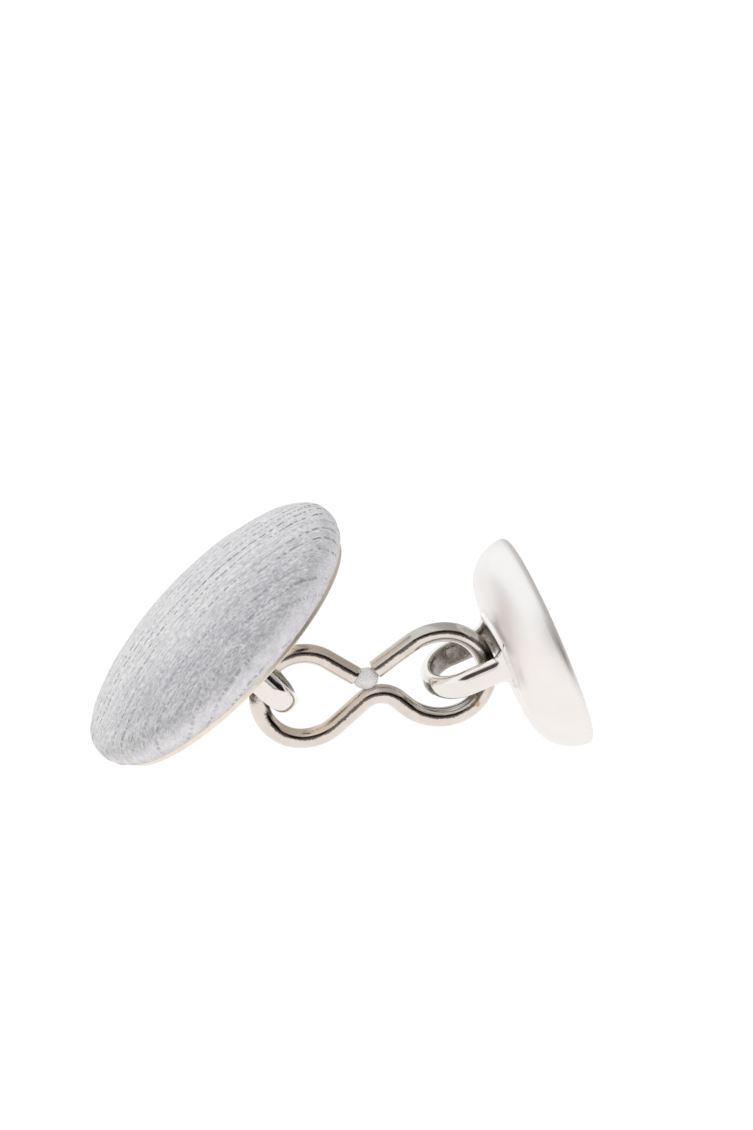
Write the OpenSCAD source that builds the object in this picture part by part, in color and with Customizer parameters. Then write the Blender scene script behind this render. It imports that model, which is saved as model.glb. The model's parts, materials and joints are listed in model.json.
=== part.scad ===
// Chain-link cufflink: a silk-covered domed button and a polished pebble toggle,
// each with a cast eye, joined by one link of round wire. Millimetres, +Z up,
// standing as it does on a table. The middle of the link's waist is the origin.

/* [Link] */
// Diameter of the round wire that the link is bent from
wire_d = 1.15; // [1:0.05:1.25]
// Bend radius of the loop in the button's eye, to the middle of the wire
button_loop_r = 2.6; // [2.5:0.05:2.7]
// Bend radius of the loop in the toggle's eye, to the middle of the wire
toggle_loop_r = 2.6; // [2.5:0.05:2.7]
// Distance from the waist to the middle of the button's loop
button_span = 4.38; // [4.3:0.02:4.5]
// Distance from the waist to the middle of the toggle's loop
toggle_span = 4.02; // [3.94:0.02:4.14]
// Wider bend radius of the wire under the button's loop, on its way to the waist
button_under_r = 3; // [2.8:0.1:3.2]
// Wider bend radius of the wire under the toggle's loop, on its way to the waist
toggle_under_r = 3.2; // [3:0.1:3.4]
// Wider bend radius of the wire over the toggle's loop, on its way to its cut end
toggle_over_r = 3.4; // [3.2:0.1:3.6]
// Distance of those wider bends' start from the middle of the loop, in degrees round it
wide_from = 85; // [80:1:88]
// Bend radius of the unbroken side of the wire at the waist, to its middle
waist_bend_r = 1.6; // [1.3:0.1:2]
// Distance that the unbroken side passes below the line of the loops
waist_drop = 0.58; // [0.5:0.02:0.7]
// Distance of the cut end on the button's side short of the waist
button_end_x = 1.1; // [1:0.05:1.2]
// Distance of the cut end on the toggle's side short of the waist
toggle_end_x = 0; // [0:0.05:0.1]
// Clearance between the cut ends and the unbroken side of the wire
end_clearance = 0.32; // [0.25:0.01:0.36]
// Diameter of the solder bead that joins both ends to the unbroken side
bead_d = 1.4; // [1.35:0.05:1.6]

/* [Covered button] */
// Diameter over the silk
button_d = 19.6; // [18:0.2:22]
// Height from the back edge of the silk to the top of the dome
button_h = 4.2; // [3.8:0.1:5]
// Height of the widest line of the silk above its back edge
rim_h = 1.2; // [1.1:0.05:1.4]
// Height of the straight band above the widest line
side_h = 0.7; // [0.2:0.05:0.9]
// Fullness of the dome, from 0.5 for half an ellipse to 1 for a parabola
dome_share = 0.77; // [0.5:0.01:1]
// Distance that the silk draws in at its back edge, on the radius
edge_draw = 0.75; // [0.5:0.05:0.9]
// Thickness of the silk with its hem
silk_t = 0.35; // [0.3:0.05:0.4]
// Thickness of the wadding under the silk
wadding_t = 0.4; // [0.3:0.05:0.5]
// Thickness of the stamped cap
cap_t = 0.3; // [0.25:0.05:0.35]
// Width of the cap's turned-in lip, on the radius
lip_w = 1.2; // [0.8:0.1:1.6]
// Thickness of the pressboard disc in the cap
filler_t = 0.8; // [0.6:0.1:0.9]
// Distance that the back plate's edge lies inside the silk's back edge
plate_inset = 0.1; // [0:0.05:0.4]
// Thickness of the back plate
plate_t = 0.3; // [0.25:0.05:0.4]
// Wall of the plug that presses the back plate into the cap
plug_wall = 0.5; // [0.4:0.05:0.7]

/* [Toggle] */
// Diameter of the toggle
toggle_d = 13.1; // [12.6:0.1:13.6]
// Thickness of the toggle
toggle_h = 2.9; // [2.8:0.1:3.4]
// Diameter of the flat middle of its back
toggle_flat_d = 8.2; // [7.8:0.1:8.6]
// How far round its curve the back goes before it meets the front plate, in degrees
toggle_round_to = 82; // [76:1:88]
// Wall of the hollow back shell
toggle_wall = 0.5; // [0.4:0.05:0.6]
// Thickness of the front plate
face_t = 0.5; // [0.45:0.05:0.6]
// Radius of the front plate's outer edge
face_edge_r = 0.4; // [0.3:0.05:0.4]
// Leg of the solder fillet inside the seam
seam_leg = 0.22; // [0.15:0.01:0.24]

/* [Eyes] */
// Free height in an eye's hole beside the wire
eye_slack = 2.85; // [2.8:0.05:3.1]
// Free width on each side of the wire in an eye's hole
side_slack = 0.95; // [0.8:0.05:1.1]
// Thickness of the eye's band
band_t = 0.8; // [0.7:0.05:0.9]
// Width of the band along its legs
band_w = 1.6; // [1.5:0.05:1.7]
// Width of the band at its tip
tip_w = 1.15; // [1.05:0.05:1.25]
// Radius of the band's rounded outside
crown_r = 1.15; // [1.1:0.05:1.4]
// Length of the eye's foot along the hole
foot_w = 3.6; // [3.2:0.1:4]
// Distance that the foot spreads beyond the legs
foot_spread = 0.35; // [0.2:0.05:0.45]
// Height of the flared foot
foot_h = 0.85; // [0.7:0.05:1]
// Thickness of the foot's web between the legs
web_t = 0.25; // [0.2:0.05:0.3]
// Leg of the solder fillet round a foot
foot_solder_leg = 0.22; // [0.15:0.01:0.3]

/* [Rest pose] */
// Tilt of the link, toggle end up, in degrees
link_tilt = 7.55; // [7.25:0.05:7.85]
// Swing of the button up from the line of the link, in degrees
button_swing = 51.95; // [51.45:0.1:52.45]
// Swing of the toggle up from the line of the link, in degrees
toggle_swing = 14.25; // [13.75:0.1:14.75]
// Turn of the toggle about its long line, in degrees
toggle_turn = 3.7; // [2:0.1:5]
// Distance that the tip of the button's eye reaches past the middle of its loop
button_tip_past = 0.05; // [0:0.05:0.15]
// Gap between the wire and the web of the toggle's eye
toggle_rest_gap = 0.3; // [0.2:0.05:0.45]
// Distance that the button's eye lies beside the loop's middle
button_side = 0.8; // [0.6:0.05:0.9]
// Distance from the middle of the toggle's loop to its eye's middle plane
toggle_side = 0.05; // [0.02:0.01:0.12]
// Distance that the toggle's eye sits off the middle of the toggle's back
toggle_eye_off = 0.57; // [0.5:0.01:0.64]
// Twist of the toggle's eye about its long line, in degrees
toggle_eye_twist = 15; // [10:1:18]

/* [Hidden] */

// Corners of the profiles, and of the round pieces
rim_steps = 8;
dome_steps = 20;
round_steps = 16;
edge_steps = 6;
$fn = 96;

// How far a cutting body runs past what it cuts
overrun = 1;

button_r = button_d / 2;
back_r = button_r - edge_draw;
plate_r = back_r - plate_inset;
shoulder_h = rim_h + side_h;
lip_r = back_r - silk_t - wadding_t - cap_t - lip_w;
lip_top = silk_t + cap_t;
filler_r = back_r - silk_t - wadding_t - cap_t;

toggle_r = toggle_d / 2;
toggle_flat_r = toggle_flat_d / 2;
seam_h = toggle_h - face_t;

flare_shares = [[0.4, 0.3], [0.12, 0.65]];
tip_bulge_share = 0.62;
eye_in_r = wire_d / 2 + side_slack;
eye_out_r = eye_in_r + band_t;
eye_h = web_t + wire_d + eye_slack + band_t;
eye_mid_h = eye_h - eye_out_r;

// Distances from the middle of a loop to the silk's back edge and to the toggle's back
button_reach = plate_t + eye_h - button_tip_past;
toggle_reach = web_t + toggle_rest_gap + wire_d / 2 + toggle_loop_r;

// Swell of the balls that join the stretches of the wire
joint_swell = 0.01;
// Height of the middle of the waist's bend
bend_z = -waist_drop - waist_bend_r;
// Distance from the middle of the waist's bend to the middle of a cut end
end_reach = waist_bend_r + wire_d + end_clearance;

// Middle of a wider bend of radius wide that leaves a loop of radius r, side 1 over it or -1 under it
function wide_mid(span, r, wide, side) =
    [span - (wide - r) * cos(wide_from), -side * (wide - r) * sin(wide_from)];
// Slope of the wire between the waist's bend and a bend of radius r about mid
function under_slope(mid, r) =
    asin((r + waist_bend_r) / norm([mid.x, mid.y - bend_z])) - atan2(mid.y - bend_z, mid.x);
// Middle of a cut end at a distance x short of the waist
function cut_end(x) = [x, bend_z + sqrt(end_reach * end_reach - x * x)];
// Slope of the wire between a bend of radius r about mid and its cut end
function over_slope(mid, r, end) =
    asin(r / norm(mid - end)) - atan2(end.y - mid.y, mid.x - end.x);

// Outline of the button from its back edge round to the middle of its dome, drawn in by inset
function dome_points(inset, base) = concat(
    [for (i = [0:rim_steps]) let (a = 90 * i / rim_steps)
        [back_r - inset + edge_draw * sin(a), base + (rim_h - base) * (1 - cos(a))]],
    [for (i = [0:dome_steps]) let (a = 90 * i / dome_steps)
        [(button_r - inset) * cos(a),
         shoulder_h + (button_h - shoulder_h - inset) * pow(sin(a), 2 * dome_share)]]);
function backwards(list) = [for (i = [len(list) - 1:-1:0]) list[i]];

// Outline of the toggle's back from its middle out to its seam, drawn in by inset
function back_points(inset) = concat([[0, -inset]],
    [for (i = [0:round_steps]) let (a = toggle_round_to * i / round_steps)
        [toggle_flat_r + (toggle_r - inset - toggle_flat_r) * sin(a) / sin(toggle_round_to),
         -inset - (seam_h - inset) * (1 - cos(a)) / (1 - cos(toggle_round_to))]]);

// Places a piece drawn in the link's own frame, loops along X, button end at -X
module at_link() { rotate([0, -link_tilt, 0]) children(); }

// Places a piece drawn with the silk's back edge on Z = 0 and its dome up
module at_button() {
    at_link() translate([-button_span, 0, 0]) rotate([0, button_swing - 90, 0])
        translate([-button_side, 0, button_reach]) children();
}

// Places a piece drawn with the toggle's back on Z = 0 and its eye up
module at_toggle() {
    at_link() translate([toggle_span, 0, 0]) rotate([0, -90 - toggle_swing, 0])
        rotate([toggle_turn, 0, 0])
        translate([-toggle_side - toggle_eye_off, 0, -toggle_reach]) children();
}

// Layer of the button between two insets, resting on base
module dome_layer(outer, inner, outer_base, inner_base) {
    rotate_extrude() polygon(concat(dome_points(outer, outer_base),
                                    backwards(dome_points(inner, inner_base))));
}

module silk_cover() {
    color("lavender") at_button() union() {
        dome_layer(0, silk_t, 0, silk_t);
        rotate_extrude() translate([lip_r, 0]) square([back_r - silk_t - lip_r, silk_t]);
        rotate_extrude() polygon([[back_r - silk_t, 0], [back_r, 0], [back_r - silk_t, silk_t]]);
    }
}

module wadding() {
    color("ivory") at_button() dome_layer(silk_t, silk_t + wadding_t, silk_t, silk_t);
}

module button_cap() {
    color("slategray") at_button() rotate_extrude() polygon(concat(
        dome_points(silk_t + wadding_t, silk_t),
        backwards(dome_points(silk_t + wadding_t + cap_t, lip_top)),
        [[lip_r, lip_top], [lip_r, silk_t]]));
}

module filler_disc() {
    color("peru") at_button() translate([0, 0, lip_top]) cylinder(h = filler_t, r = filler_r);
}

// The plug is pressed into the cap's lip and traps the hem of the silk
module back_plate() {
    color("gainsboro") at_button() union() {
        translate([0, 0, -plate_t]) cylinder(h = plate_t, r = plate_r);
        difference() {
            cylinder(h = lip_top, r = lip_r);
            cylinder(h = lip_top + overrun, r = lip_r - plug_wall);
        }
    }
}

// Half-round section of the band, its flat side towards the hole
module band_section() {
    intersection() {
        translate([eye_in_r, -band_w / 2]) square([band_t, band_w]);
        translate([eye_out_r - crown_r, 0]) circle(r = crown_r);
    }
}

// Side outline of the eye, narrow at its tip and flared at its foot
module eye_side_outline() {
    tip = tip_w / 2;
    leg = band_w / 2;
    flare = foot_w / 2 - leg;
    half = [[foot_w / 2, 0],
            for (at = flare_shares) [leg + flare * at.x, foot_h * at.y],
            [leg, foot_h], [leg, eye_mid_h],
            [tip + (leg - tip) * tip_bulge_share, eye_h - band_t], [tip, eye_h]];
    polygon(concat(half, [for (at = backwards(half)) [-at.x, at.y]]));
}

// Cast eye, foot on Z = 0, with its hole along X
module band_eye() {
    intersection() {
        union() {
            translate([0, 0, eye_mid_h]) rotate([0, 90, 0]) rotate([0, 0, 90])
                rotate_extrude(angle = 180) band_section();
            for (side = [0, 180]) rotate([0, 0, 90 + side])
                linear_extrude(eye_mid_h) band_section();
            difference() {
                cylinder(h = foot_h, r1 = eye_out_r + foot_spread, r2 = eye_out_r);
                translate([-foot_w, -eye_in_r, web_t])
                    cube([2 * foot_w, 2 * eye_in_r, foot_h]);
            }
        }
        rotate([90, 0, 0]) linear_extrude(4 * eye_out_r, center = true) eye_side_outline();
    }
}

// Solder fillet round the foot of an eye
module foot_solder() {
    difference() {
        intersection() {
            cylinder(h = foot_solder_leg, r1 = eye_out_r + foot_spread + foot_solder_leg,
                     r2 = eye_out_r + foot_spread);
            translate([-foot_w / 2 - foot_solder_leg, -2 * eye_out_r, 0])
                cube([foot_w + 2 * foot_solder_leg, 4 * eye_out_r, foot_solder_leg]);
        }
        band_eye();
    }
}

module at_button_foot() { at_button() translate([0, 0, -plate_t]) rotate([180, 0, 0]) children(); }

module button_eye() { color("silver") at_button_foot() band_eye(); }
module button_eye_solder() { color("darkgray") at_button_foot() foot_solder(); }

// Bend of the wire: radius r about [x, z], from one angle to another
module bend(x, z, r, from, to) {
    translate([x, 0, z]) rotate([90, 0, 0]) rotate([0, 0, from])
        rotate_extrude(angle = to - from) translate([r, 0]) circle(d = wire_d);
}

// Straight stretch of the wire from one [x, z] to another
module stretch(from, to) {
    run = to - from;
    translate([from[0], 0, from[1]]) rotate([0, atan2(run[0], run[1]), 0])
        cylinder(h = norm(run), d = wire_d);
}

// Ball that joins two stretches of the wire
module wire_joint(x, z) { translate([x, 0, z]) sphere(d = wire_d + joint_swell); }

// One side of the link, from the waist's bend round its loop of radius r to its cut end
module link_side(span, r, under_r, over_r, end) {
    low = wide_mid(span, r, under_r, -1);
    high = wide_mid(span, r, over_r, 1);
    under = under_slope(low, under_r);
    over = over_slope(high, over_r, end);
    start = [waist_bend_r * sin(under), bend_z + waist_bend_r * cos(under)];
    low_start = [low.x - under_r * sin(under), low.y - under_r * cos(under)];
    high_end = [high.x - over_r * sin(over), high.y + over_r * cos(over)];
    side = [r * cos(wide_from), r * sin(wide_from)];
    stretch(start, low_start);
    bend(low.x, low.y, under_r, -90 - under, -wide_from);
    bend(span, 0, r, -wide_from, wide_from);
    bend(high.x, high.y, over_r, wide_from, 90 + over);
    stretch(high_end, end);
    for (mark = [start, low_start, high_end, [span + side.x, side.y], [span + side.x, -side.y]])
        wire_joint(mark.x, mark.y);
}

module whole_wire() {
    toggle_under = under_slope(wide_mid(toggle_span, toggle_loop_r, toggle_under_r, -1), toggle_under_r);
    button_under = under_slope(wide_mid(button_span, button_loop_r, button_under_r, -1), button_under_r);
    bend(0, bend_z, waist_bend_r, 90 - toggle_under, 90 + button_under);
    link_side(toggle_span, toggle_loop_r, toggle_under_r, toggle_over_r, cut_end(toggle_end_x));
    mirror([1, 0, 0])
        link_side(button_span, button_loop_r, button_under_r, button_loop_r, cut_end(button_end_x));
}

module link_wire() { color("silver") at_link() whole_wire(); }

// The bead lies between the cut ends and touches the unbroken side below them
module waist_solder() {
    ends = (cut_end(toggle_end_x).y + cut_end(button_end_x).y) / 2;
    color("white") at_link() difference() {
        translate([(toggle_end_x - button_end_x) / 2, 0, ends - wire_d / 4]) sphere(d = bead_d);
        whole_wire();
    }
}

module toggle_shell() {
    color("silver") at_toggle() rotate_extrude() polygon(concat(
        back_points(0), backwards(back_points(toggle_wall))));
}

// Front plate with a small round at its edge, closing the shell
module toggle_face() {
    color("whitesmoke") at_toggle() rotate_extrude() polygon(concat(
        [[0, -seam_h], [toggle_r, -seam_h]],
        [for (i = [0:edge_steps]) let (a = 90 * i / edge_steps)
            [toggle_r - face_edge_r * (1 - cos(a)),
             -toggle_h + face_edge_r * (1 - sin(a))]],
        [[0, -toggle_h]]));
}

// Solder ring in the corner between the shell's wall and the face
module seam_solder() {
    inner_r = toggle_r - toggle_wall;
    color("darkgray") difference() {
        at_toggle() rotate_extrude() polygon([
            [inner_r, -seam_h], [inner_r, -seam_h + seam_leg], [inner_r - seam_leg, -seam_h]]);
        toggle_shell();
    }
}

module at_toggle_foot() {
    at_toggle() translate([toggle_eye_off, 0, 0]) rotate([0, 0, -toggle_eye_twist]) children();
}

module toggle_eye() { color("silver") at_toggle_foot() band_eye(); }
module toggle_eye_solder() { color("darkgray") at_toggle_foot() foot_solder(); }

silk_cover();
wadding();
button_cap();
filler_disc();
back_plate();
button_eye();
button_eye_solder();
link_wire();
waist_solder();
toggle_shell();
toggle_face();
seam_solder();
toggle_eye();
toggle_eye_solder();
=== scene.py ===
import bpy
import json
import math
from mathutils import Matrix, Vector, noise


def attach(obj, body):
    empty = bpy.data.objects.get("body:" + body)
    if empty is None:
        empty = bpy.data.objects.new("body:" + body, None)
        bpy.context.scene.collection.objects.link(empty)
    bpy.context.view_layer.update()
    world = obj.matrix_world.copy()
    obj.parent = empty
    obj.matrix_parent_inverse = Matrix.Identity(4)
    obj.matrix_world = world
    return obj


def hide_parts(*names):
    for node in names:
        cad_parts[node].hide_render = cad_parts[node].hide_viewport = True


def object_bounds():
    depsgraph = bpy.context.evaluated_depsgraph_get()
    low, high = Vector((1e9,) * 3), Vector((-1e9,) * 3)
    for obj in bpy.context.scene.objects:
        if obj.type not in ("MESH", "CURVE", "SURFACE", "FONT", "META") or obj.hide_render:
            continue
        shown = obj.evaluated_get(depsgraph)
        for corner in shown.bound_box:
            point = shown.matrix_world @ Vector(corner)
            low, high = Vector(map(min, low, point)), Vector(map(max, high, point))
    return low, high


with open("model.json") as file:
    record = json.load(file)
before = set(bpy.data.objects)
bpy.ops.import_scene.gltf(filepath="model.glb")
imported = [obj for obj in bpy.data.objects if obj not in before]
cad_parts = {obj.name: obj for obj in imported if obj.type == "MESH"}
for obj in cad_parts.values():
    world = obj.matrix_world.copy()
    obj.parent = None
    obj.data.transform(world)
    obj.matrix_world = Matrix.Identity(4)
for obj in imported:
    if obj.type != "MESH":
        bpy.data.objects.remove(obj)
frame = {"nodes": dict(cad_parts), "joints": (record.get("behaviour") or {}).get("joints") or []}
cadLow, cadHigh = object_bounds()
print("frame loaded,", len(frame["nodes"]), "nodes")

mm = 0.001  # sizes below are in millimetres, and the meshes are in metres


def linear(hexColour):
    parts = [int(hexColour[i:i + 2], 16) / 255 for i in (1, 3, 5)]
    return [c / 12.92 if c <= 0.04045 else ((c + 0.055) / 1.055) ** 2.4 for c in parts] + [1.0]


def addNode(tree, kind, inputs=None, **settings):
    node = tree.nodes.new(kind)
    for name, value in settings.items():
        setattr(node, name, value)
    for name, value in (inputs or {}).items():
        if isinstance(value, bpy.types.NodeSocket):
            tree.links.new(value, node.inputs[name])
        else:
            node.inputs[name].default_value = value
    return node


# Camera: a long lens a little above the cuff link, turned slightly to its left
camera = {
    "azimuth": -8,
    "elevation": 16,
    "roll": 0.75,
    "lens": 300,
    "sensor": 36,
    "imagePx": (753, 1130),
    "pxPerMm": 17,
    "waistPx": (376, 684.6),  # where the middle of the link's waist shows
}


def placeCamera(c):
    a, e = math.radians(c["azimuth"]), math.radians(c["elevation"])
    back = Vector((math.sin(a) * math.cos(e), -math.cos(a) * math.cos(e), math.sin(e)))
    turn = (-back).to_track_quat("-Z", "Y") @ Matrix.Rotation(math.radians(c["roll"]), 3, "Z").to_quaternion()
    right = turn @ Vector((1, 0, 0))
    up = turn @ Vector((0, 1, 0))
    width, height = c["imagePx"]
    aim = right * (width / 2 - c["waistPx"][0]) / c["pxPerMm"]
    aim += up * (c["waistPx"][1] - height / 2) / c["pxPerMm"]
    distance = c["lens"] / c["sensor"] * height / c["pxPerMm"]
    data = bpy.data.cameras.new("camera")
    data.lens = c["lens"]
    data.sensor_width = c["sensor"]
    data.clip_start = 0.01
    data.clip_end = 20
    eye = bpy.data.objects.new("camera", data)
    bpy.context.scene.collection.objects.link(eye)
    eye.location = (aim + back * distance) * mm
    eye.rotation_mode = "QUATERNION"
    eye.rotation_quaternion = turn
    bpy.context.scene.camera = eye


placeCamera(camera)
print("camera placed")


# Rest places of the link, the button and the toggle, the same as the solid model's
loops = {j["name"]: Vector(j["pos_m"]) / mm for j in frame["joints"]}
buttonSpan = loops["button_swing"].length
toggleSpan = loops["toggle_swing"].length
linkTilt = math.asin(loops["toggle_swing"].z / toggleSpan)
rest = {
    "buttonSwing": 51.95,
    "toggleSwing": 14.25,
    "toggleTurn": 3.7,
    "buttonReach": 5.3,
    "toggleReach": 3.725,
    "buttonSide": 0.8,
    "toggleSide": 0.62,
    "toggleEyeOff": 0.57,
    "toggleEyeTwist": 15,
}


def turned(axis, degrees):
    return Matrix.Rotation(math.radians(degrees), 4, axis)


def moved(x, y, z):
    return Matrix.Translation((x, y, z))


linkPlace = turned("Y", -math.degrees(linkTilt))
buttonPlace = (linkPlace @ moved(-buttonSpan, 0, 0) @ turned("Y", rest["buttonSwing"] - 90)
               @ moved(-rest["buttonSide"], 0, rest["buttonReach"]))
togglePlace = (linkPlace @ moved(toggleSpan, 0, 0) @ turned("Y", -90 - rest["toggleSwing"])
               @ turned("X", rest["toggleTurn"]) @ moved(-rest["toggleSide"], 0, -rest["toggleReach"]))


# Mesh helpers: every piece is a row of rings of points, joined by four-sided faces
def ringMesh(rings, closed=True):
    count = len(rings[0])
    points = [p for ring in rings for p in ring]
    faces = []
    for i in range(len(rings) - 1):
        for j in range(count if closed else count - 1):
            k = (j + 1) % count
            faces.append((i * count + j, i * count + k, (i + 1) * count + k, (i + 1) * count + j))
    return points, faces


def capped(points, faces, count):
    # closes both ends of a tube with fans about their middles
    for start, turn in ((0, 1), (len(points) - count, -1)):
        middle = sum((points[start + j] for j in range(count)), Vector()) / count
        hub = len(points)
        points.append(middle)
        for j in range(count):
            k = (j + 1) % count
            face = (start + k, start + j, hub) if turn == 1 else (start + j, start + k, hub)
            faces.append(face)
    return points, faces


def joined(*parts):
    points, faces = [], []
    for morePoints, moreFaces in parts:
        shift = len(points)
        points.extend(morePoints)
        faces.extend(tuple(i + shift for i in face) for face in moreFaces)
    return points, faces


def insideOut(mesh):
    # the volume under the faces is negative when they face inwards
    total = 0
    for face in mesh.polygons:
        total += face.center.dot(face.normal) * face.area
    return total < 0


def makePiece(name, shape, place, body, nodes, materials, crease=35):
    points, faces = shape
    mesh = bpy.data.meshes.new(name)
    mesh.from_pydata([p * mm for p in points], [], faces)
    mesh.polygons.foreach_set("use_smooth", [True] * len(mesh.polygons))
    mesh.set_sharp_from_angle(angle=math.radians(crease))
    if insideOut(mesh):
        mesh.flip_normals()
    for material in materials:
        mesh.materials.append(material)
    mesh.update()
    piece = bpy.data.objects.new(name, mesh)
    bpy.context.scene.collection.objects.link(piece)
    where = place.copy()
    where.translation = place.translation * mm
    piece.matrix_world = where
    bpy.context.view_layer.update()
    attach(piece, body)
    if nodes:
        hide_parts(*nodes)
    return piece


def revolved(outline, count):
    # turns an outline of (radius, height) pairs about Z
    rings = []
    for radius, height in outline:
        rings.append([Vector((radius * math.cos(2 * math.pi * j / count),
                              radius * math.sin(2 * math.pi * j / count), height)) for j in range(count)])
    return ringMesh(rings)


# Materials
def newMaterial(name):
    material = bpy.data.materials.new(name)
    material.use_nodes = True
    tree = material.node_tree
    tree.nodes.clear()
    shader = addNode(tree, "ShaderNodeBsdfPrincipled")
    addNode(tree, "ShaderNodeOutputMaterial", {"Surface": shader.outputs[0]})
    return material, tree, shader


def inMillimetres(tree):
    place = addNode(tree, "ShaderNodeTexCoord")
    return addNode(tree, "ShaderNodeVectorMath", {0: place.outputs["Object"], 3: 1 / mm},
                   operation="SCALE").outputs[0]


def platedBrass(name, look, paintedReflectionAndWear=None):
    # Plated brass: a bright skin that shows the room, softened by what lies under it
    material, tree, shader = newMaterial(name)
    place = inMillimetres(tree)
    smudge = addNode(tree, "ShaderNodeTexNoise", {"Vector": place, "Scale": 1 / look["smudgeMm"], "Detail": 3.0})
    grain = addNode(tree, "ShaderNodeTexNoise", {"Vector": place, "Scale": 1 / look["grainMm"], "Detail": 2.0})
    wave = addNode(tree, "ShaderNodeTexNoise", {"Vector": place, "Scale": 1 / look["waveMm"], "Detail": 1.0})
    tone = addNode(tree, "ShaderNodeMix", {"Factor": smudge.outputs["Fac"], 6: linear(look["colour"]),
                                           7: linear(look["warmColour"])}, data_type="RGBA")
    if paintedReflectionAndWear:
        # painted reflection: surfaces that look up take a warm grey, with a painted dark streak below it; a worn
        # spot shows the brass
        facing = addNode(tree, "ShaderNodeSeparateXYZ", {0: addNode(tree, "ShaderNodeTexCoord").outputs["Normal"]})
        speckled = addNode(tree, "ShaderNodeMath", {0: grain.outputs["Fac"], 1: paintedReflectionAndWear["speckle"],
                                                    2: facing.outputs["Z"]}, operation="MULTIPLY_ADD")
        uneven = addNode(tree, "ShaderNodeMath", {0: smudge.outputs["Fac"], 1: paintedReflectionAndWear["uneven"],
                                                  2: speckled.outputs[0]}, operation="MULTIPLY_ADD")
        paintedUpperReflection = addNode(tree, "ShaderNodeMapRange", {"Value": uneven.outputs[0], "From Min": paintedReflectionAndWear["from"],
                                                     "From Max": paintedReflectionAndWear["to"]}, interpolation_type="SMOOTHSTEP")
        apart = addNode(tree, "ShaderNodeSeparateXYZ", {0: place})
        side = addNode(tree, "ShaderNodeMapRange", {"Value": apart.outputs["X"], "From Min": -paintedReflectionAndWear["blendMm"],
                                                    "From Max": paintedReflectionAndWear["blendMm"]})
        paintedReflectionColour = addNode(tree, "ShaderNodeMix", {"Factor": side.outputs[0], 6: linear(paintedReflectionAndWear["left"]),
                                               7: linear(paintedReflectionAndWear["right"])}, data_type="RGBA")
        line = addNode(tree, "ShaderNodeMapRange", {"Value": uneven.outputs[0], "From Min": paintedReflectionAndWear["lineFrom"],
                                                    "From Max": paintedReflectionAndWear["lineTo"]}, interpolation_type="SMOOTHSTEP")
        tone = addNode(tree, "ShaderNodeMix", {"Factor": line.outputs[0], 6: tone.outputs[2],
                                               7: linear(paintedReflectionAndWear["line"])}, data_type="RGBA")
        tone = addNode(tree, "ShaderNodeMix", {"Factor": paintedUpperReflection.outputs[0], 6: tone.outputs[2],
                                               7: paintedReflectionColour.outputs[2]}, data_type="RGBA")
        toWorn = addNode(tree, "ShaderNodeVectorMath", {0: place, 1: paintedReflectionAndWear["worn"]}, operation="DISTANCE")
        ragged = addNode(tree, "ShaderNodeMath", {0: grain.outputs["Fac"], 1: paintedReflectionAndWear["raggedMm"],
                                                  2: toWorn.outputs["Value"]}, operation="MULTIPLY_ADD")
        worn = addNode(tree, "ShaderNodeMapRange", {"Value": ragged.outputs[0], "From Min": paintedReflectionAndWear["wornMm"],
                                                    "From Max": paintedReflectionAndWear["wornMm"] + paintedReflectionAndWear["wornEdgeMm"],
                                                    "To Min": 1.0, "To Max": 0.0})
        tone = addNode(tree, "ShaderNodeMix", {"Factor": worn.outputs[0], 6: tone.outputs[2],
                                               7: linear(paintedReflectionAndWear["brass"])}, data_type="RGBA")
    gloss = addNode(tree, "ShaderNodeMapRange", {"Value": smudge.outputs["Fac"], "From Min": 0.35,
                                                 "From Max": 0.7, "To Min": look["roughness"],
                                                 "To Max": look["smudgeRoughness"]})
    fine = addNode(tree, "ShaderNodeMath", {0: grain.outputs["Fac"], 1: look["grainDepthMm"]},
                   operation="MULTIPLY")
    height = addNode(tree, "ShaderNodeMath", {0: wave.outputs["Fac"], 1: look["waveDepthMm"],
                                              2: fine.outputs[0]}, operation="MULTIPLY_ADD")
    bump = addNode(tree, "ShaderNodeBump", {"Height": height.outputs[0], "Distance": mm, "Strength": 1.0})
    tree.links.new(tone.outputs[2], shader.inputs["Base Color"])
    tree.links.new(gloss.outputs[0], shader.inputs["Roughness"])
    tree.links.new(bump.outputs[0], shader.inputs["Normal"])
    shader.inputs["Metallic"].default_value = look.get("metallic", 1.0)
    return material


# Eyes and plates are polished after plating, so they mirror the room
polishedPlate = platedBrass("rhodium_plated_brass_polished", {
    "colour": "#f6f4f2", "warmColour": "#efebe7", "roughness": 0.09, "smudgeRoughness": 0.18,
    "smudgeMm": 1.6, "grainMm": 0.12, "grainDepthMm": 0.0006, "waveMm": 0.9, "waveDepthMm": 0.006,
})
# The toggle's spun back is buffed a little softer, so its reflections blur
spunPlate = platedBrass("rhodium_plated_brass_spun", {
    "colour": "#fbfafa", "warmColour": "#f7f4f2", "roughness": 0.4, "smudgeRoughness": 0.46,
    "smudgeMm": 1.8, "grainMm": 0.12, "grainDepthMm": 0.0006, "waveMm": 1.4, "waveDepthMm": 0.01,
})
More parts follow.
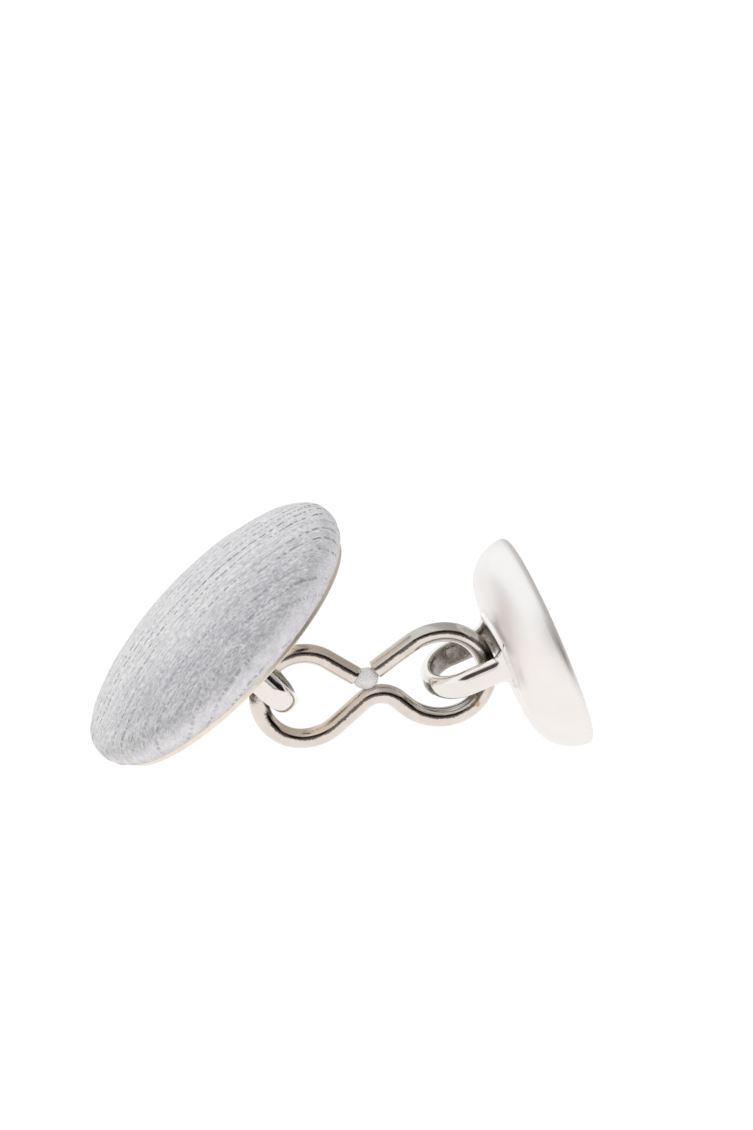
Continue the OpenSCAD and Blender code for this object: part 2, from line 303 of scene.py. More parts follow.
# The link's wire has the same plate; the side that lies up is painted a warm grey, a painted reflection of the room
# above
drawnPlate = platedBrass("rhodium_plated_brass_drawn", {
    "colour": "#f3efeb", "warmColour": "#d6ccc2", "roughness": 0.1, "smudgeRoughness": 0.2,
    "smudgeMm": 1.1, "grainMm": 0.12, "grainDepthMm": 0.001, "waveMm": 0.8, "waveDepthMm": 0.008,
}, paintedReflectionAndWear={
    "from": 0.5,         # how far a surface has to look up to take the painted grey reflection, from not at all to wholly
    "to": 0.66,
    "uneven": 0.3,
    "speckle": 0.2,
    "left": "#dccfc0",   # the painted reflection's colour by the button, and by the toggle
    "right": "#c9c5c0",
    "blendMm": 3.0,
    "lineFrom": 0.24,    # a painted dark reflection streak runs along the lower edge of the painted grey side
    "lineTo": 0.38,
    "line": "#6a605a",
    "worn": (5.78, -0.52, -2.0),  # where the plate is rubbed through to the brass
    "wornMm": 0.3,
    "wornEdgeMm": 0.12,
    "raggedMm": 0.4,
    "brass": "#c2a078",
})
# Cast eyes keep the skin of the mould, which breaks the reflections up
castPlate = platedBrass("rhodium_plated_brass_cast", {
    "colour": "#c6c1b9", "warmColour": "#7d776f", "roughness": 0.2, "smudgeRoughness": 0.34,
    "smudgeMm": 0.5, "grainMm": 0.16, "grainDepthMm": 0.02, "waveMm": 0.6, "waveDepthMm": 0.03,
})
# Solder wets the joint in a smooth, slightly frosted skin
softSolder = platedBrass("silver_solder_flowed", {
    "colour": "#ffffff", "warmColour": "#fdfbfa", "roughness": 0.62, "smudgeRoughness": 0.7,
    "smudgeMm": 0.5, "grainMm": 0.14, "grainDepthMm": 0.0, "waveMm": 0.8, "waveDepthMm": 0.002,
    "metallic": 0.5,     # the frosted skin scatters half of what it would mirror
})
# The back plate is left satin, so its edge shows as one pale warm line
satinPlate = platedBrass("rhodium_plated_brass_satin", {
    "colour": "#f8f2e8", "warmColour": "#efe3d2", "roughness": 0.4, "smudgeRoughness": 0.5,
    "smudgeMm": 0.8, "grainMm": 0.1, "grainDepthMm": 0.004, "waveMm": 1.2, "waveDepthMm": 0.004,
})

silkLook = {
    "topColour": "#dddddd",
    "sidePaintedLightColour": "#fbfaff",
    "shadeColour": "#96969e",
    "gapColour": "#54555c",
    "flatMm": 29.0,      # across the square of cloth that the flat coordinates cover
    "rowMm": 1.05,       # between the rows of short dark gaps, which run a little off the button's long line
    "rowTurn": 8.5,
    "gapMm": 0.19,
    "dashMm": 0.22,
    "wanderMm": 0.1,
    "yarnMm": 0.17,      # slubs and flecks of the mixed yarn
    "slubMm": 0.5,
    "sideFromMm": 9.8,   # where the side wall, painted lighter, fades in, from the middle of the dome along the cloth
    "sideToMm": 11.4,
    "fadeMm": (-8.0, 1.0),         # the rows fade towards the near side
    "fadeTo": 0.45,
    "paintedShadeBandMm": (3.5, 8.0, 8.5, 11.0),  # painted shade: a darker band on the near side rises and falls before the side
    "paintedShadeBandShare": 0.28,
    "cloudMm": 0.9,
    "cloudShade": (0.08, 0.04),    # on the top, and what the side adds to it; the side's negative shares paint it lighter
    "slubShade": (0.2, -0.1),
    "fleckShade": (0.48, -0.34),
    "reliefMm": 0.03,
    "reliefShare": 0.7,
    "roughness": 0.66,
    "sheen": 0.2,
    "sheenRoughness": 0.5,
}


def ribbedSilk(look):
    # Mixed-yarn silk: matt pale cloth with grey flecks, and rows of short dark gaps between its wefts
    material, tree, shader = newMaterial("silk_melange_woven")

    def mathNode(operation, *values):
        return addNode(tree, "ShaderNodeMath", dict(enumerate(values)), operation=operation).outputs[0]

    def vectorNode(operation, *values):
        return addNode(tree, "ShaderNodeVectorMath", dict(enumerate(values)), operation=operation).outputs[0]

    def ramp(value, low, high, start=0.0, end=1.0):
        return addNode(tree, "ShaderNodeMapRange", {"Value": value, "From Min": low, "From Max": high,
                                                    "To Min": start, "To Max": end},
                       interpolation_type="SMOOTHSTEP").outputs[0]

    def noiseAt(place, grainMm, detail, stretch=(1, 1, 1), roughness=0.5):
        scaled = vectorNode("MULTIPLY", place, [v / grainMm for v in stretch])
        return addNode(tree, "ShaderNodeTexNoise", {"Vector": scaled, "Scale": 1.0, "Detail": detail,
                                                    "Roughness": roughness})

    def mixed(share, first, second):
        return addNode(tree, "ShaderNodeMix", {"Factor": share, 6: first, 7: second},
                       data_type="RGBA").outputs[2]

    flat = look["flatMm"]
    uv = addNode(tree, "ShaderNodeUVMap", uv_map="cloth")
    cloth = vectorNode("MULTIPLY_ADD", uv.outputs[0], (flat, flat, 1), (-flat / 2, -flat / 2, 0))
    turnedCloth = addNode(tree, "ShaderNodeVectorRotate", {"Vector": cloth, "Angle": math.radians(-look["rowTurn"])},
                          rotation_type="Z_AXIS").outputs[0]
    drift = vectorNode("SUBTRACT", noiseAt(turnedCloth, 2.6, 2.0).outputs["Color"], (0.5, 0.5, 0.5))
    place = vectorNode("MULTIPLY_ADD", drift, [look["wanderMm"] * 4] * 3, turnedCloth)
    along = addNode(tree, "ShaderNodeSeparateXYZ", {0: place})
    # rows of gaps: each row has its own run of dashes, and some rows hardly show
    toRow = mathNode("PINGPONG", along.outputs["Y"], look["rowMm"] / 2)
    inRow = ramp(toRow, look["gapMm"] * 0.2, look["gapMm"] * 0.8, 1.0, 0.0)
    row = mathNode("ROUND", mathNode("MULTIPLY", along.outputs["Y"], 1 / look["rowMm"]))
    run = mathNode("MULTIPLY", along.outputs["X"], 1 / look["dashMm"])
    dashPlace = addNode(tree, "ShaderNodeCombineXYZ", {"X": run, "Y": mathNode("MULTIPLY", row, 7.31)}).outputs[0]
    dashes = addNode(tree, "ShaderNodeTexNoise", {"Vector": dashPlace, "Scale": 1.0, "Detail": 1.0})
    faint = noiseAt(place, 3.2, 1.0, (0.5, 1.6, 1))
    dark = mathNode("MULTIPLY", inRow, ramp(dashes.outputs["Fac"], 0.44, 0.54))
    dark = mathNode("MULTIPLY", dark, ramp(faint.outputs["Fac"], 0.34, 0.6, 0.15, 0.95))
    across = addNode(tree, "ShaderNodeSeparateXYZ", {0: cloth}).outputs["Y"]
    dark = mathNode("MULTIPLY", dark, ramp(across, *look["fadeMm"], look["fadeTo"], 1.0))
    # flecks of the mixed yarn, short slubs along the weft, and soft clouds where the cloth is pulled
    fleck = ramp(noiseAt(place, look["yarnMm"], 2.0, (0.6, 1.15, 1), 0.7).outputs["Fac"], 0.36, 0.64)
    slub = ramp(noiseAt(place, look["slubMm"], 2.0, (0.45, 1.3, 1)).outputs["Fac"], 0.36, 0.68)
    fromMiddle = addNode(tree, "ShaderNodeVectorMath", {0: cloth}, operation="LENGTH").outputs["Value"]
    # painted light: the side wall takes a paler, slightly lilac colour and fewer dark flecks than the top
    side = ramp(fromMiddle, look["sideFromMm"], look["sideToMm"])
    cloud = ramp(noiseAt(cloth, look["cloudMm"], 3.0).outputs["Fac"], 0.42, 0.66)
    nearSide = ramp(mathNode("DIVIDE", across, mathNode("ADD", fromMiddle, 0.01)), -0.1, -0.85)
    # painted shade: the near side of the dome is darkened in a band, standing in for the light falling off there
    riseFrom, riseTo, fallFrom, fallTo = look["paintedShadeBandMm"]
    band = mathNode("MULTIPLY", ramp(fromMiddle, riseFrom, riseTo), ramp(fromMiddle, fallTo, fallFrom))
    shade = mathNode("MULTIPLY", mathNode("MULTIPLY", band, nearSide), look["paintedShadeBandShare"])
    for pattern, (onTop, sideAdds) in ((cloud, look["cloudShade"]), (slub, look["slubShade"]),
                                       (fleck, look["fleckShade"])):
        shade = mathNode("MULTIPLY_ADD", pattern, mathNode("MULTIPLY_ADD", side, sideAdds, onTop), shade)
    base = mixed(side, linear(look["topColour"]), linear(look["sidePaintedLightColour"]))
    final = mixed(dark, mixed(shade, base, linear(look["shadeColour"])), linear(look["gapColour"]))
    deep = look["reliefMm"]
    rib = ramp(toRow, 0.0, look["rowMm"] / 2, 0.0, deep)
    relief = mathNode("MULTIPLY_ADD", fleck, -deep, mathNode("MULTIPLY_ADD", slub, -deep, rib))
    bump = addNode(tree, "ShaderNodeBump", {"Height": relief, "Distance": mm, "Strength": look["reliefShare"]})
    tree.links.new(final, shader.inputs["Base Color"])
    tree.links.new(bump.outputs[0], shader.inputs["Normal"])
    shader.inputs["Roughness"].default_value = look["roughness"]
    shader.inputs["Sheen Weight"].default_value = look["sheen"]
    shader.inputs["Sheen Roughness"].default_value = look["sheenRoughness"]
    return material


def roughStock(name, look):
    # plain stock inside the button: fibres or mill grain at their own size
    material, tree, shader = newMaterial(name)
    place = inMillimetres(tree)
    stretch = addNode(tree, "ShaderNodeVectorMath", {0: place, 1: look["stretch"]}, operation="MULTIPLY")
    grain = addNode(tree, "ShaderNodeTexNoise", {"Vector": stretch.outputs[0], "Scale": 1 / look["grainMm"],
                                                 "Detail": 4.0})
    tone = addNode(tree, "ShaderNodeMix", {"Factor": grain.outputs["Fac"], 6: linear(look["colour"]),
                                           7: linear(look["darkColour"])}, data_type="RGBA")
    height = addNode(tree, "ShaderNodeMath", {0: grain.outputs["Fac"], 1: look["depthMm"]},
                     operation="MULTIPLY")
    bump = addNode(tree, "ShaderNodeBump", {"Height": height.outputs[0], "Distance": mm, "Strength": 1.0})
    tree.links.new(tone.outputs[2], shader.inputs["Base Color"])
    tree.links.new(bump.outputs[0], shader.inputs["Normal"])
    shader.inputs["Metallic"].default_value = look["metallic"]
    shader.inputs["Roughness"].default_value = look["roughness"]
    return material


silkCloth = ribbedSilk(silkLook)
# Carded cotton is matt, with a loose pile of fibres
cottonBatting = roughStock("cotton_batting_carded", {
    "colour": "#f1ece0", "darkColour": "#ddd5c4", "grainMm": 0.3, "depthMm": 0.08, "metallic": 0.0,
    "roughness": 0.95, "stretch": (1, 1, 0.4)})
# Cold rolled strip keeps faint lines from the rolls
tinnedSteel = roughStock("tinned_steel_cold_rolled", {
    "colour": "#b9bcc0", "darkColour": "#9a9da3", "grainMm": 0.4, "depthMm": 0.004, "metallic": 1.0,
    "roughness": 0.34, "stretch": (0.15, 1, 1)})
# Pressed grey board shows its pulp as fine flecks
pressBoard = roughStock("greyboard_pressed", {
    "colour": "#b39d7c", "darkColour": "#8d7857", "grainMm": 0.25, "depthMm": 0.03, "metallic": 0.0,
    "roughness": 0.9, "stretch": (1, 0.5, 1)})
print("materials made")


# Link: one drawn wire bent to a figure of eight, its ends soldered at the waist
link = {
    "wire": 1.15,
    "buttonLoop": 2.6,   # radii of the wire's middle line round each loop
    "toggleLoop": 2.6,
    "buttonUnder": 3.0,  # and of its wider bends on the way to the waist and to the cut ends
    "toggleUnder": 3.2,
    "buttonOver": 2.6,
    "toggleOver": 3.4,
    "wideFrom": 85,
    "waistBend": 1.6,
    "waistDrop": 0.58,
    "buttonEnd": 1.1,    # how far each cut end stops short of the waist
    "toggleEnd": 0.0,
    "endClearance": 0.32,
    "endRound": 0.12,
    "step": 0.07,
    "round": 64,
    "unevenness": 0.006,
    "bead": 1.4,
    "beadShares": (1.12, 0.96, 0.9),  # its width along the link, across it and upwards
    "beadLump": 0.08,
    "beadGrain": 0.015,
}


def arcPoints(cx, cz, radius, start, end, step):
    count = max(2, int(abs(math.radians(end - start)) * radius / step))
    angles = [math.radians(start + (end - start) * i / count) for i in range(count + 1)]
    return [Vector((cx + radius * math.cos(a), 0, cz + radius * math.sin(a))) for a in angles]


def linePoints(start, end, step):
    count = max(2, int((end - start).length / step))
    return [start.lerp(end, i / count) for i in range(count + 1)]


def cutEnd(p, x):
    reach = p["waistBend"] + p["wire"] + p["endClearance"]
    return Vector((x, 0, math.sqrt(reach ** 2 - x ** 2) - p["waistDrop"] - p["waistBend"]))


def halfWire(p, span, radius, underRadius, overRadius, end):
    # from the waist's bend out round one loop to its cut end, drawn towards +X
    start = math.radians(p["wideFrom"])
    bendZ = -p["waistDrop"] - p["waistBend"]
    lowX = span - (underRadius - radius) * math.cos(start)
    lowZ = (underRadius - radius) * math.sin(start)
    highX = span - (overRadius - radius) * math.cos(start)
    highZ = -(overRadius - radius) * math.sin(start)
    under = math.degrees(math.asin((underRadius + p["waistBend"]) / math.hypot(lowX, lowZ - bendZ))
                         - math.atan2(lowZ - bendZ, lowX))
    over = math.degrees(math.asin(overRadius / math.hypot(highX - end.x, highZ - end.z))
                        - math.atan2(end.z - highZ, highX - end.x))
    bend = arcPoints(0, bendZ, p["waistBend"], 90, 90 - under, p["step"])
    low = arcPoints(lowX, lowZ, underRadius, -90 - under, -p["wideFrom"], p["step"])
    loop = arcPoints(span, 0, radius, -p["wideFrom"], p["wideFrom"], p["step"])
    high = arcPoints(highX, highZ, overRadius, p["wideFrom"], 90 + over, p["step"])
    return (bend + linePoints(bend[-1], low[0], p["step"])[1:-1] + low + loop[1:] + high[1:]
            + linePoints(high[-1], end, p["step"])[1:])


def wholeWire(p):
    toggleHalf = halfWire(p, toggleSpan, p["toggleLoop"], p["toggleUnder"], p["toggleOver"],
                          cutEnd(p, p["toggleEnd"]))
    buttonHalf = halfWire(p, buttonSpan, p["buttonLoop"], p["buttonUnder"], p["buttonOver"],
                          cutEnd(p, p["buttonEnd"]))
    return [Vector((-q.x, 0, q.z)) for q in buttonHalf][::-1] + toggleHalf[1:]


def roundTube(path, radius, count, endRound, unevenness):
    lengths = [0]
    for a, b in zip(path, path[1:]):
        lengths.append(lengths[-1] + (b - a).length)
    rings = []
    for i, point in enumerate(path):
        before, after = path[max(i - 1, 0)], path[min(i + 1, len(path) - 1)]
        along = (after - before).normalized()
        out = Vector((-along.z, 0, along.x))
        toEnd = min(lengths[i], lengths[-1] - lengths[i])
        inset = max(0, endRound - toEnd)
        size = radius - endRound + math.sqrt(endRound ** 2 - inset ** 2)
        ring = []
        for j in range(count):
            a = 2 * math.pi * j / count
            way = out * math.cos(a) + Vector((0, math.sin(a), 0))
            swell = 1 + unevenness * noise.noise((point + way * radius) * 0.9)
            ring.append(point + way * size * swell)
        rings.append(ring)
    return capped(*ringMesh(rings), count)


wirePath = wholeWire(link)
makePiece("linkWire", roundTube(wirePath, link["wire"] / 2, link["round"], link["endRound"], link["unevenness"]),
          linkPlace, "chain_link", ["link_wire"], [drawnPlate])


def solderBead(p):
    # a lumpy bead that sits in the vee between the ends and wets both
    middle = (cutEnd(p, p["toggleEnd"]) + cutEnd(p, -p["buttonEnd"])) / 2 - Vector((0, 0, p["wire"] / 4))
    rings = []
    rows, count = 36, 48
    for i in range(1, rows):
        polar = math.pi * i / rows
        ring = []
        for j in range(count):
            a = 2 * math.pi * j / count
            way = Vector((math.sin(polar) * math.cos(a), math.sin(polar) * math.sin(a), math.cos(polar)))
            swell = p["beadLump"] * noise.noise(way * 1.6) + p["beadGrain"] * noise.noise(way * 5)
            size = p["bead"] / 2 * (1 + swell)
            ring.append(middle + way * Vector(p["beadShares"]) * size)
        rings.append(ring)
    return capped(*ringMesh(rings), count)


makePiece("waistBead", solderBead(link), linkPlace, "chain_link", ["waist_solder"], [softSolder])
print("link made")


# Eyes: cast straps with a crowned outside, a narrow tip and a flared foot
eye = {
    "height": 5.05,
    "holeHalf": 1.525,
    "band": 0.8,
    "bandWidth": 1.6,
    "tipWidth": 1.15,
    "tipBulge": 0.62,
    "crown": 1.15,
    "footWidth": 3.6,
    "footHeight": 0.85,
    "footSpread": 0.35,
    "flare": ((1.0, 0.0), (0.4, 0.3), (0.12, 0.65), (0.0, 1.0)),  # shares of the flare and of the height
    "web": 0.25,
    "fillet": 0.22,
    "squareness": 5,
    "insideShare": 0.35,  # how far out of the hole the mould's skin reaches, as a share of the band
    "tipPatch": (0.45, -1.0, -0.2, 0.42),  # skin left at the tip: depth, from and to along the strap, half width
    "along": 150,
    "round": 48,
}


def between(table, at):
    # reads straight runs between (value, place) pairs with rising places
    for (v0, p0), (v1, p1) in zip(table, table[1:]):
        if at <= p1:
            t = max(0.0, (at - p0) / (p1 - p0))
            return v0 + (v1 - v0) * t
    return table[-1][0]


def eyeHalfWidth(p, z):
    leg, tip = p["bandWidth"] / 2, p["tipWidth"] / 2
    middle = p["height"] - p["holeHalf"] - p["band"]
    if z < p["footHeight"]:
        return leg + (p["footWidth"] / 2 - leg) * between(p["flare"], max(0, z) / p["footHeight"])
    shoulder = p["height"] - p["band"]
    return between(((leg, p["footHeight"]), (leg, middle), (tip + (leg - tip) * p["tipBulge"], shoulder),
                    (tip, p["height"])), min(z, p["height"]))


def eyeStrap(p):
    radius = p["holeHalf"] + p["band"] / 2
    middle = p["height"] - p["holeHalf"] - p["band"]
    legSteps = int(p["along"] * 0.3)
    arcSteps = p["along"] - 2 * legSteps
    spots = []
    for i in range(legSteps):
        spots.append((Vector((0, -radius, middle * i / legSteps)), Vector((0, -1, 0))))
    for i in range(arcSteps + 1):
        a = math.pi - math.pi * i / arcSteps
        way = Vector((0, math.cos(a), math.sin(a)))
        spots.append((Vector((0, 0, middle)) + way * radius, way))
    for i in range(legSteps - 1, -1, -1):
        spots.append((Vector((0, radius, middle * i / legSteps)), Vector((0, 1, 0))))
    power = 2 / p["squareness"]
    rings = []
    for spot, way in spots:
        ring = []
        for j in range(p["round"]):
            a = 2 * math.pi * j / p["round"]
            across = math.copysign(abs(math.cos(a)) ** power, math.cos(a))
            deep = math.copysign(abs(math.sin(a)) ** power, math.sin(a)) * p["band"] / 2
            z = (spot + way * deep).z
            half = eyeHalfWidth(p, z)
            w = across * half
            if deep > 0:
                inCrown = min(abs(w), p["bandWidth"] / 2)
                drop = p["crown"] - math.sqrt(p["crown"] ** 2 - inCrown ** 2)
                deep -= drop * deep * 2 / p["band"]
                share = max(0, 1 - z / p["footHeight"])
                deep += p["footSpread"] * share ** 2
            ring.append(spot + way * deep + Vector((w, 0, 0)))
        rings.append(ring)
    return capped(*ringMesh(rings), p["round"])


def footOutline(p, grow, count):
    reach = p["holeHalf"] + p["band"] + p["footSpread"] + grow
    half = p["footWidth"] / 2 + grow
    points = []
    for j in range(count):
        a = 2 * math.pi * j / count
        across = abs(math.cos(a)) / half
        deep = abs(math.sin(a)) / reach
        far = 1 / (across ** 8 + (deep ** 2 + (math.cos(a) / reach) ** 2) ** 4) ** (1 / 8)
        points.append(Vector((far * math.cos(a), far * math.sin(a), 0)))
    return points


def footWeb(p):
    rows = [(-0.12, 0.0), (-0.12, p["web"] * 0.7), (-0.16, p["web"] * 0.92), (-0.24, p["web"])]
    rings = [[q + Vector((0, 0, z)) for q in footOutline(p, grow, 96)] for grow, z in rows]
    return capped(*ringMesh(rings), 96)


def footFillet(p):
    leg = p["fillet"]
    rows = [(-0.5, 0.0), (-0.5, leg * 0.9), (-0.2, leg * 1.05)]
    for i in range(9):
        a = math.radians(90) * i / 8
        rows.append((leg * (1 - math.cos(a)), leg * (1 - math.sin(a))))
    rings = [[q + Vector((0, 0, z + 0.004)) for q in footOutline(p, grow, 120)] for grow, z in rows]
    return ringMesh(rings)


def paintInside(piece, p):
    # the strap's inner faces keep the skin of the mould
    middle = p["height"] - p["holeHalf"] - p["band"]
    reach = p["holeHalf"] + p["band"] * p["insideShare"]
    depth, start, end, half = p["tipPatch"]
    for face in piece.data.polygons:
        c = face.center / mm
        inside = abs(c.y) < reach if c.z < middle else math.hypot(c.y, c.z - middle) < reach
        tip = c.z > p["height"] - depth and start < c.y < end and abs(c.x) < half
        face.material_index = 1 if inside or tip else 0


buttonFoot = buttonPlace @ moved(0, 0, -0.3) @ turned("X", 180)
toggleFoot = togglePlace @ moved(rest["toggleEyeOff"], 0, 0) @ turned("Z", -rest["toggleEyeTwist"])
for side, place, body in (("button", buttonFoot, "button"), ("toggle", toggleFoot, "toggle")):
    strap = makePiece(side + "Eye", joined(eyeStrap(eye), footWeb(eye)), place, body, [side + "_eye"],
                      [polishedPlate, castPlate])
    paintInside(strap, eye)
    makePiece(side + "EyeSolder", footFillet(eye), place, body, [side + "_eye_solder"], [softSolder])
print("eyes made")


# Toggle: a spun shell with a bare polished plate let into its front
toggle = {
    "diameter": 13.1,
    "thick": 2.9,
    "flatBack": 8.2,
    "roundTo": 82,       # how far round its curve the back goes before it meets the face
    "wall": 0.5,
    "face": 0.5,
    "edgeRound": 0.4,
    "count": 256,
}


def backCurve(p, inset, fine):
    # the back's outline from its flat middle out to the seam with the face
    radius, flat = p["diameter"] / 2 - inset, p["flatBack"] / 2
    deep = p["thick"] - p["face"] - inset
    end = math.radians(p["roundTo"])
    return [(flat + (radius - flat) * math.sin(end * i / fine) / math.sin(end),
             -inset - deep * (1 - math.cos(end * i / fine)) / (1 - math.cos(end))) for i in range(fine + 1)]


def toggleShell(p):
    flat = p["flatBack"] / 2
    outline = [(0.001, 0)] + [(flat * i / 6, 0) for i in range(1, 6)]
    outline += backCurve(p, 0, 40)
    outline += backCurve(p, p["wall"], 20)[::-1]
    outline.append((0.001, -p["wall"]))
    return revolved(outline, p["count"])


def toggleFace(p):
    radius, seam, edge = p["diameter"] / 2, -p["thick"] + p["face"], p["edgeRound"]
    outline = [(0.001, seam), (radius, seam)]
    for i in range(15):
        a = math.radians(90) * i / 14
        outline.append((radius - edge * (1 - math.cos(a)), -p["thick"] + edge * (1 - math.sin(a))))
    outline += [(radius - edge - 0.3, -p["thick"]), (radius / 2, -p["thick"]), (0.001, -p["thick"])]
    return revolved(outline, p["count"])


makePiece("toggleShell", toggleShell(toggle), togglePlace, "toggle", ["toggle_shell"],
          [spunPlate])
front = makePiece("toggleFace", toggleFace(toggle), togglePlace, "toggle", ["toggle_face"],
                  [polishedPlate, spunPlate])
for face in front.data.polygons:
    face.material_index = 1 if abs(face.normal.z) < 0.98 else 0
print("toggle made")


# Button: silk over wadding over a steel cap, closed by a plated back plate
button = {
    "diameter": 19.6,
    "height": 4.2,
    "rim": 1.2,
    "side": 0.7,
    "fullness": 0.77,    # 0.5 is half an ellipse, 1 a parabola
    "edgeDraw": 0.75,
    "silk": 0.35,
    "wadding": 0.4,
    "hem": 2.0,
    "plateInset": 0.1,
    "plate": 0.3,
    "plateEdge": 0.1,
    "turnedRim": 0.2,    # how much of the plate's flat is satin, as its edge is
    "around": 420,
    "puckers": 46,       # folds round the button where the silk turns under
    "pucker": 0.05,
    "puckerAt": 11.5,    # from the middle of the dome along the cloth, as the next three are
    "puckerReach": 1.1,
    "smoothFrom": 11.9,
    "smoothTo": 12.4,
    "lump": 0.05,
    "softening": 50,
}


def domeOutline(p, inset, base, fine):
    radius = p["diameter"] / 2
    backRadius = radius - p["edgeDraw"]
    shoulder = p["rim"] + p["side"]
    outline = []
    for i in range(fine + 1):
        a = math.radians(90) * i / fine
        outline.append((backRadius - inset + p["edgeDraw"] * math.sin(a),
                        base + (p["rim"] - base) * (1 - math.cos(a))))
    for i in range(4 * fine + 1):
        a = math.radians(90) * i / (4 * fine)
        outline.append((max(0.001, (radius - inset) * math.cos(a)),
                        shoulder + (p["height"] - shoulder - inset) * math.sin(a) ** (2 * p["fullness"])))
    return outline


def evened(outline, step):
    # the same outline with its points a step apart
    fine = [outline[0]]
    left = step
    for (x0, y0), (x1, y1) in zip(outline, outline[1:]):
        long = math.hypot(x1 - x0, y1 - y0)
        at = left
        while at < long:
            fine.append((x0 + (x1 - x0) * at / long, y0 + (y1 - y0) * at / long))
            at += step
        left = at - long
    return fine + [outline[-1]]


def softened(outline, passes):
    # rounds the outline's turns, with both of its ends kept
    for _ in range(passes):
        middle = [((a[0] + 2 * b[0] + c[0]) / 4, (a[1] + 2 * b[1] + c[1]) / 4)
                  for a, b, c in zip(outline, outline[1:], outline[2:])]
        outline = [outline[0]] + middle + [outline[-1]]
    return outline


def silkCover(p):
    backRadius = p["diameter"] / 2 - p["edgeDraw"]
    hem = [(backRadius - p["hem"] * (1 - i / 12), 0.0) for i in range(12)]
    outline = hem + softened(evened(domeOutline(p, 0, 0, 24), 0.1), p["softening"])
    reach = [0.0]
    for (x0, y0), (x1, y1) in zip(outline[::-1], outline[::-1][1:]):
        reach.append(reach[-1] + math.hypot(x1 - x0, y1 - y0))
    reach = reach[::-1]  # along the cloth from the middle of the dome
    count = p["around"]
    rings, spots = [], []
    for i, (radius, height) in enumerate(outline):
        inward, outward = outline[min(i + 1, len(outline) - 1)], outline[max(i - 1, 0)]
        run = Vector((inward[0] - outward[0], inward[1] - outward[1])).normalized()
        ring = []
        for j in range(count):
            a = 2 * math.pi * j / count
            way = Vector((math.cos(a), math.sin(a), 0))
            out = way * run.y + Vector((0, 0, -run.x))
            nearEdge = max(0, 1 - abs(reach[i] - p["puckerAt"]) / p["puckerReach"])
            fold = math.sin(p["puckers"] * a + 3 * noise.noise(way * 4)) * (0.6 + noise.noise(way * 7))
            swell = p["pucker"] * nearEdge * fold
            swell += p["lump"] * noise.noise(way * radius * 0.45 + Vector((0, 0, height)))
            keep = min(1, max(0, (p["smoothTo"] - reach[i]) / (p["smoothTo"] - p["smoothFrom"])))
            ring.append(way * radius + Vector((0, 0, height)) + out * (swell - p["lump"] * 0.6) * keep)
            spots.append((0.5 + reach[i] * math.cos(a) / silkLook["flatMm"],
                          0.5 + reach[i] * math.sin(a) / silkLook["flatMm"]))
        rings.append(ring)
    return ringMesh(rings), spots, reach[0]


shape, clothSpots, clothReach = silkCover(button)
silk = makePiece("silkCover", shape, buttonPlace, "button", ["silk_cover"], [silkCloth], crease=80)
layer = silk.data.uv_layers.new(name="cloth")
corner = [0] * len(silk.data.loops)
silk.data.loops.foreach_get("vertex_index", corner)
layer.data.foreach_set("uv", [value for index in corner for value in clothSpots[index]])
print("silk cut", round(2 * clothReach, 1), "mm across")


def backPlate(p):
    radius, edge = p["diameter"] / 2 - p["edgeDraw"] - p["plateInset"], p["plateEdge"]
    outline = [(0.001, -p["plate"]), (radius / 2, -p["plate"]), (radius - 0.4, -p["plate"])]
    for i in range(9):
        a = math.radians(90) * i / 8
        outline.append((radius - edge + edge * math.sin(a), -p["plate"] + edge * (1 - math.cos(a))))
    outline += [(radius, 0.0), (0.001, 0.0)]
    return revolved(outline[::-1], 256)


plate = makePiece("backPlate", backPlate(button), buttonPlace, "button", ["back_plate"],
                  [polishedPlate, satinPlate])
flatReach = button["diameter"] / 2 - button["edgeDraw"] - button["plateInset"] - button["turnedRim"]
for face in plate.data.polygons:
    # the turned rim is satin, the flat is polished
    face.material_index = 1 if face.center.xy.length / mm > flatReach else 0


def waddingPad(p):
    outer = domeOutline(p, p["silk"] + 0.02, p["silk"], 8)
    inner = domeOutline(p, p["silk"] + p["wadding"] - 0.02, p["silk"], 8)
    return revolved(outer + inner[::-1] + outer[:1], 128)


pad = makePiece("waddingPad", waddingPad(button), buttonPlace, "button", ["wadding"], [cottonBatting])

for name, material in (("button_cap", tinnedSteel), ("filler_disc", pressBoard), ("seam_solder", softSolder)):
    node = frame["nodes"][name]
    node.data.materials.clear()
    node.data.materials.append(material)
print("button made")


# Room: a white table in a white room, dimmer to the right, with dark gaps before it that metal mirrors
room = {
    "white": "#ffffff",
    "strength": 1.0,
    "softLight": 0.72,         # how bright the room is to matt surfaces
    "dimToward": (0.97, 0.15, 0.2),
    "dimEdge": (0.02, 0.2),    # cosines between which the dim side fades in, and then deepens
    "dimDeep": (0.2, 1.0),
    "dimNear": "#d2d0ce",
    "dimFar": "#b4b1ae",
    "floorColour": "#f8f5f3",
    "floorMottle": "#f6f4f2",
    "floorMirrored": "#fcf8f6",
    "floorMirroredFrom": (-2.0, 12.0),  # mirrored, it turns white across this stretch behind the object
    "floorRadius": 900,
    "floorDarkFrom": (60, 90),  # how far before the object the mirrored floor goes dark
    "floorDarkSide": (-22.0, -14.0),    # and from where to its right, along an edge with this slant
    "floorDarkSlant": -0.35,
    "floorDark": "#1d1815",
    "floorShare": 0.97,        # how much of the floor shows as plain white
    "floorGlow": 1.012,
}
# gaps and panels that polished metal mirrors: azimuth from the camera's side towards the right, elevation,
# half width and half height in degrees, softness of the edge as a share, and colour
cards = {
    "frontStrip": {"at": (10, 22), "half": (30, 14), "soft": 0.3, "colour": "#3c3531"},
    "frontRightGap": {"at": (56, 12), "half": (22, 16), "soft": 0.2, "colour": "#0d0b0a"},
}


